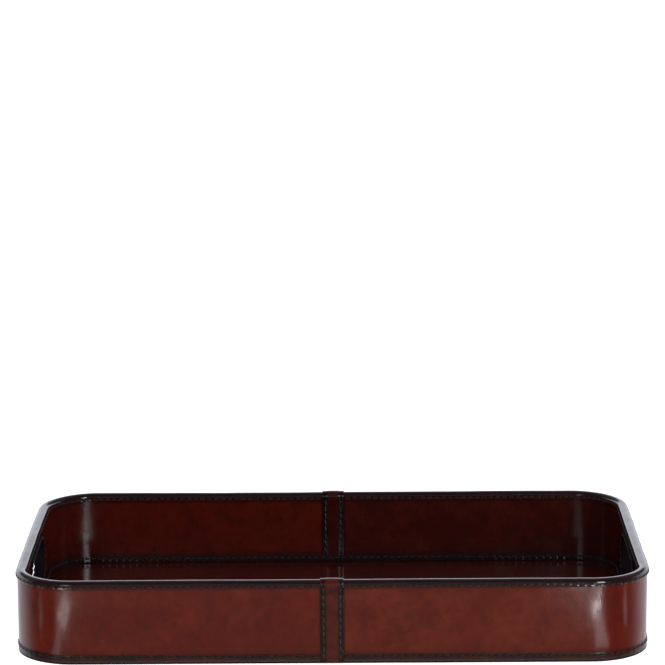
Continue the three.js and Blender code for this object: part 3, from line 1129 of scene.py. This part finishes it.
class TRAY_OT_sheets(bpy.types.Operator):
    """Lay the floor leather and the underside leather"""

    bl_idname = "tray.sheets"
    bl_label = "Floor and underside"

    def execute(self, context):
        sizes, colours = context.scene.tray_sizes, context.scene.tray_colours
        floor_lift = outer_lift(floor_high, sizes)
        sheets = (
            ("floor_sheet", "floor_leather", floor_lift, floor_low.z, floor_high.z, floor_finish(colours)),
            ("base_sheet", "base_leather", sizes.sole_reach, sole_low.z, sole_high.z, base_finish(colours)),
        )
        for name, node, lift, foot, top, material in sheets:
            bm = rounded_sheet(lift, foot, top, sizes, sizes.strip_round)
            lay_piece(bm, 0.0, sizes, name, material, node, node)
        return {"FINISHED"}


class TRAY_OT_straps(bpy.types.Operator):
    """Lay a strap over the joint in the middle of each long side"""

    bl_idname = "tray.straps"
    bl_label = "Joint straps"

    def execute(self, context):
        sizes, colours = context.scene.tray_sizes, context.scene.tray_colours
        material = strap_finish(colours, sizes)
        for side, turn in (("front", 0.0), ("back", math.pi)):
            name, node = f"strap_{side}", f"joint_strap_{side}"
            lay_piece(joint_strap(sizes), turn, sizes, name, material, "strap_leather", node)
        return {"FINISHED"}


class TRAY_OT_stitches(bpy.types.Operator):
    """Sew the bindings, the welts and the straps, stitch by stitch"""

    bl_idname = "tray.stitches"
    bl_label = "Stitches"

    def execute(self, context):
        sizes, colours = context.scene.tray_sizes, context.scene.tray_colours
        line = WallLine(sizes)
        pattern = stitch_pattern(sizes)
        clean = thread_finish("thread", colours, 0.0)
        dirty = thread_finish("dyed_thread", colours, 0.8)
        out = outer_lift(binding_high, sizes)
        inner = outer_lift(floor_welt_high, sizes) - sizes.edge_leather
        rows = (
            ("rim_stitches_outer", "rim_thread_outer", rim_row(line, sizes), out, 1),
            ("rim_stitches_inner", "rim_thread_inner", rim_row(line, sizes), inner, -1),
            ("base_stitches", "base_thread", base_row(line, sizes), out - sizes.welt_paring, 1),
            ("floor_stitches", "floor_thread", floor_row(line, sizes), inner, -1),
            ("hand_stitches_outer", "hand_thread_outer", HandRow(sizes), out, 1),
            ("hand_stitches_inner", "hand_thread_inner", HandRow(sizes), inner, -1),
        )
        for name, node, row, lift, looks in rows:

            def sewn_half(side):
                return stitches(row, lift, looks, pattern, sizes, name + side)

            both_halves(sewn_half, name, node, dirty, "thread", sizes)
        self.sew_straps(pattern, clean, sizes)
        bpy.data.meshes.remove(pattern)
        return {"FINISHED"}

    def sew_straps(self, pattern, material, sizes):
        """Sews both edges of each strap, outside and inside."""
        line, reach, pinch = StrapLine(sizes), strap_reach(sizes), -0.0002
        sides = (("front", 0.0, ("right", "left")), ("back", math.pi, ("left", "right")))
        legs = (("outer", line.outside(), 1), ("inner", line.inside(), -1))
        for side, turn, hands in sides:
            for face, leg, looks in legs:
                for hand, across in zip(hands, (reach, -reach)):
                    place = f"{side}_{face}_{hand}"
                    name, node = f"strap_stitches_{place}", f"strap_thread_{place}"
                    bm = stitches(StrapRow(leg, looks, sizes, across), pinch, 1, pattern, sizes, place)
                    lay_piece(bm, turn, sizes, name, material, "thread", node)


class TRAY_OT_core(bpy.types.Operator):
    """Give the hidden hoops, rails and board their plywood"""

    bl_idname = "tray.core"
    bl_label = "Plywood core"

    def execute(self, context):
        material = plywood_finish(context.scene.tray_colours)
        rails = [f"{level}_rail_{side}" for level in ("upper", "lower") for side in ("left", "right")]
        for node in ("wall_hoop_front", "wall_hoop_back", "base_board", *rails):
            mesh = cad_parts[node].data
            mesh.materials.clear()
            mesh.materials.append(material)
        return {"FINISHED"}


def towards(place, aim):
    """A turn that points a lamp from its place to its aim."""
    return (Vector(aim) - Vector(place)).to_track_quat("-Z", "Y").to_matrix().to_4x4()


def soft_box(name, place, aim, width, height, brightness):
    """An area lamp of a given size that the camera doesn't see."""
    data = bpy.data.lights.new(name, "AREA")
    data.shape = "RECTANGLE"
    data.size, data.size_y = width, height
    data.energy = brightness * math.pi * width * height
    lamp = bpy.data.objects.new(name, data)
    bpy.context.scene.collection.objects.link(lamp)
    lamp.matrix_world = Matrix.Translation(place) @ towards(place, aim)
    lamp.visible_camera = False
    return lamp


def table_material(studio):
    """A pale table that keeps the shadows, is lifted to white in the picture and is clear from below."""
    material = bpy.data.materials.new("table")
    nodes = Nodes(material, empty=True)
    paper = nodes.add("ShaderNodeBsdfDiffuse", {"Color": studio.table}).outputs[0]
    amount = nodes.maths("MULTIPLY", nodes.picture_rays(), studio.table_lift)
    lift = nodes.add("ShaderNodeEmission", {"Strength": amount}).outputs[0]
    lifted = nodes.add("ShaderNodeAddShader", {0: paper, 1: lift}).outputs[0]
    below = nodes.add("ShaderNodeNewGeometry").outputs["Backfacing"]
    clear = nodes.add("ShaderNodeBsdfTransparent").outputs[0]
    sides = nodes.add("ShaderNodeMixShader", {0: below, 1: lifted, 2: clear}).outputs[0]
    nodes.add("ShaderNodeOutputMaterial", {0: sides})
    return material


def studio_world(studio):
    """A lit backdrop low behind the tray, a dim room elsewhere, and an even fill."""
    world = bpy.data.worlds.new("studio")
    bpy.context.scene.world = world
    nodes = Nodes(world, empty=True)
    _, back, up = nodes.axes(nodes.add("ShaderNodeTexCoord").outputs["Generated"])
    behind = nodes.fade(back, -0.2, 0.55, 0.03, 0.98)
    in_front = nodes.fade(back, -0.65, -0.9, 0.0, 0.17)
    ceiling = nodes.fade(up, 0.295, 0.375, 1.0, 0.12)
    horizon = nodes.fade(up, -0.03, 0.05, 1.0, 1.6)

    def backdrop(colour, strength):
        below_ceiling = nodes.maths("MULTIPLY", strength, ceiling)
        return nodes.add("ShaderNodeBackground", {"Color": colour, "Strength": below_ceiling}).outputs[0]

    far = backdrop(studio.backdrop, nodes.maths("MULTIPLY", behind, horizon))
    near = backdrop(studio.room, in_front)
    seen = nodes.add("ShaderNodeAddShader", {0: far, 1: near}).outputs[0]
    fill = nodes.add("ShaderNodeBackground", {"Strength": studio.fill}).outputs[0]
    mixed = nodes.add("ShaderNodeMixShader", {0: nodes.picture_rays(), 1: fill, 2: seen}).outputs[0]
    nodes.add("ShaderNodeOutputWorld", {0: mixed})


def studio_lamps(studio):
    """Soft boxes that light the leather, and others that only its gloss shows."""
    tray = (0.0, 0.0, 0.03)
    width, height, narrower = 0.35, 0.7, 0.33
    boxes = (
        soft_box("left_box", (-0.94, -1.29, 0.48), tray, width, height, studio.left_box),
        soft_box("right_box", (0.65, -1.46, 0.48), tray, width, height, studio.right_box),
        soft_box("side_box", (1.5, -0.6, 0.55), tray, 0.5, height, studio.side_box),
        soft_box("top_box", (0.0, 0.2, 1.7), tray, 1.6, 1.2, studio.top_box),
    )
    for box in boxes:
        box.visible_glossy = False
    shines = (
        soft_box("left_shine", (-0.60, -1.48, 0.48), tray, width, height, studio.left_shine),
        soft_box("right_shine", (0.62, -1.40, 0.46), tray, narrower, height, studio.right_shine),
    )
    for shine in shines:
        shine.visible_diffuse = False
    left, right, side = studio.left_glow, studio.right_glow, studio.side_glow
    mirrored_light("left_glow", (-0.247, -0.214), (-0.226, -0.293), 0.056, left)
    mirrored_light("left_trail", (-0.211, -0.140), (-0.248, -0.218), 0.016, left / 4)
    mirrored_light("right_glow", (0.223, -0.253), (0.217, -0.274), 0.050, right)
    mirrored_light("right_halo", (0.191, -0.330), (0.193, -0.360), 0.042, right / 3.5)
    mirrored_light("right_trail", (0.2055, -0.160), (0.2295, -0.235), 0.032, right / 13)
    mirrored_light("left_side_glow", (-0.290, -0.148), (-0.372, -0.175), 0.016, side / 2)
    mirrored_light("right_side_glow", (0.290, -0.141), (0.375, -0.172), 0.014, side)
    corner_light("left_inner_glow", (-0.1781, 0.0886), (-0.1908, 0.1158), studio.inner_glow)
    corner_light("right_inner_glow", (0.1787, 0.0882), (0.1895, 0.1162), studio.inner_glow / 5)


def corner_light(name, place, aim, brightness):
    """A narrow upright light close to an inner corner, aimed into it and seen in gloss only."""
    width, height, rise, lift, spread = 0.004, 0.032, 0.026, 0.0085, math.radians(50)
    middle = floor_high.z + rise
    lamp = soft_box(name, (*place, middle), (*aim, middle + lift), width, height, brightness)
    lamp.data.spread = spread
    lamp.visible_diffuse = False


def mirrored_light(name, start, end, width, brightness):
    """A strip of light as the polished table mirrors it: in gloss only, from just under the table."""
    under = -0.002
    start, end = Vector((*start, under)), Vector((*end, under))
    along = end - start
    middle = (start + end) / 2
    lamp = soft_box(name, middle, middle + Vector((0, 0, 1)), width, along.length, brightness)
    turn = Matrix.Rotation(math.atan2(-along.x, along.y), 4, "Z")
    lamp.matrix_world = Matrix.Translation(middle) @ turn @ Matrix.Rotation(math.pi, 4, "Y")
    lamp.visible_diffuse = False


def studio_camera(studio, middle):
    """A long lens that looks a little over the tray, so that it stands low in the picture."""
    data = bpy.data.cameras.new("camera")
    data.sensor_width = 36.0
    data.lens = studio.focal_length
    camera = bpy.data.objects.new("camera", data)
    bpy.context.scene.collection.objects.link(camera)
    level_way = studio.distance * math.cos(studio.elevation)
    rise = studio.distance * math.sin(studio.elevation)
    way = Vector((math.sin(studio.swing) * level_way, -math.cos(studio.swing) * level_way, rise))
    heading = Matrix.Rotation(studio.swing + studio.pan, 4, "Z")
    aim = heading @ Matrix.Rotation(math.pi / 2 - studio.pitch, 4, "X")
    camera.matrix_world = Matrix.Translation(middle + way) @ aim @ Matrix.Rotation(studio.roll, 4, "Z")
    bpy.context.scene.camera = camera


class TRAY_OT_stage(bpy.types.Operator):
    """Set up the table, the lamps, the room and the camera"""

    bl_idname = "tray.stage"
    bl_label = "Studio"

    def execute(self, context):
        studio = context.scene.tray_studio
        table_reach = 20.0
        bm = bmesh.new()
        bmesh.ops.create_grid(bm, x_segments=1, y_segments=1, size=table_reach)
        table = new_object(bm, "table")
        table.data.materials.append(table_material(studio))
        table.visible_glossy = False
        table.visible_shadow = False
        studio_world(studio)
        studio_lamps(studio)
        studio_camera(studio, Vector((0, 0, binding_high.z / 2)))
        context.scene.view_settings.view_transform = "Standard"
        return {"FINISHED"}


class TRAY_PT_panel(bpy.types.Panel):
    """Steps that dress the tray, in the order they are made"""

    bl_idname = "TRAY_PT_panel"
    bl_label = "Leather serving tray"
    bl_space_type = "VIEW_3D"
    bl_region_type = "UI"
    bl_category = "Tray"

    def draw(self, context):
        for step in steps:
            self.layout.operator(step.bl_idname)


steps = (
    TRAY_OT_wall_leather,
    TRAY_OT_edge_strips,
    TRAY_OT_sheets,
    TRAY_OT_straps,
    TRAY_OT_stitches,
    TRAY_OT_core,
    TRAY_OT_stage,
)
settings = {"tray_sizes": TraySizes, "tray_colours": TrayColours, "tray_studio": TrayStudio}


def register():
    for cls in (*settings.values(), *steps, TRAY_PT_panel):
        bpy.utils.register_class(cls)
    for name, group in settings.items():
        setattr(bpy.types.Scene, name, PointerProperty(type=group))


def unregister():
    for name in settings:
        delattr(bpy.types.Scene, name)
    for cls in reversed((*settings.values(), *steps, TRAY_PT_panel)):
        bpy.utils.unregister_class(cls)


def main():
    register()
    bpy.ops.tray.wall_leather()
    bpy.ops.tray.edge_strips()
    bpy.ops.tray.sheets()
    bpy.ops.tray.straps()
    bpy.ops.tray.stitches()
    bpy.ops.tray.core()
    bpy.ops.tray.stage()
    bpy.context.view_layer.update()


if __name__ == "__main__":
    main()
